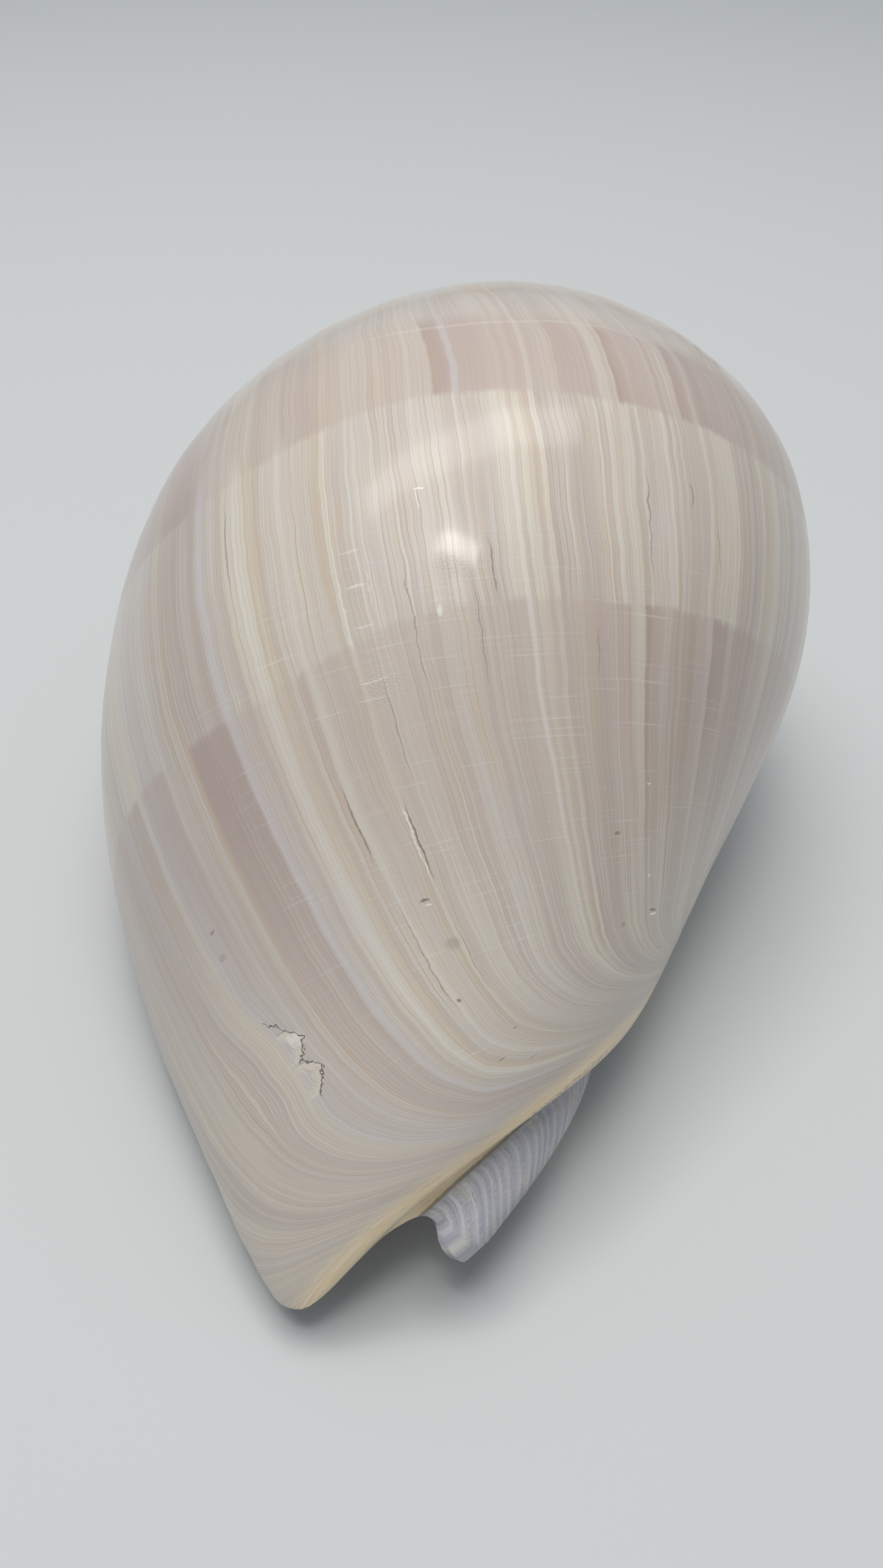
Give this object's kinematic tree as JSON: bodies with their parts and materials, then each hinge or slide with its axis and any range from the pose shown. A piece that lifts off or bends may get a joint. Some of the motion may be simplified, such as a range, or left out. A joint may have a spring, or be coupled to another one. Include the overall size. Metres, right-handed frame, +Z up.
{
  "type": "melon shell",
  "caption": "Large inflated polished melon volute shell, lying mouth down, with wide mouth, folded column and front notch.",
  "frame": {"origin": "middle of the bounding box, at the surface that the shell lies on", "axes": "+Z up, +Y from the front notch towards the coiled top, the lip on the -X side"},
  "size_m": [0.136, 0.1894, 0.1053],
  "materials": {
    "shell": "semi-gloss polished shell, cream to grey beige with two pinkish brown spiral bands and axial growth lines"
  },
  "bodies": {
    "root": {"melon_shell": "shell"}
  },
  "joints": []
}
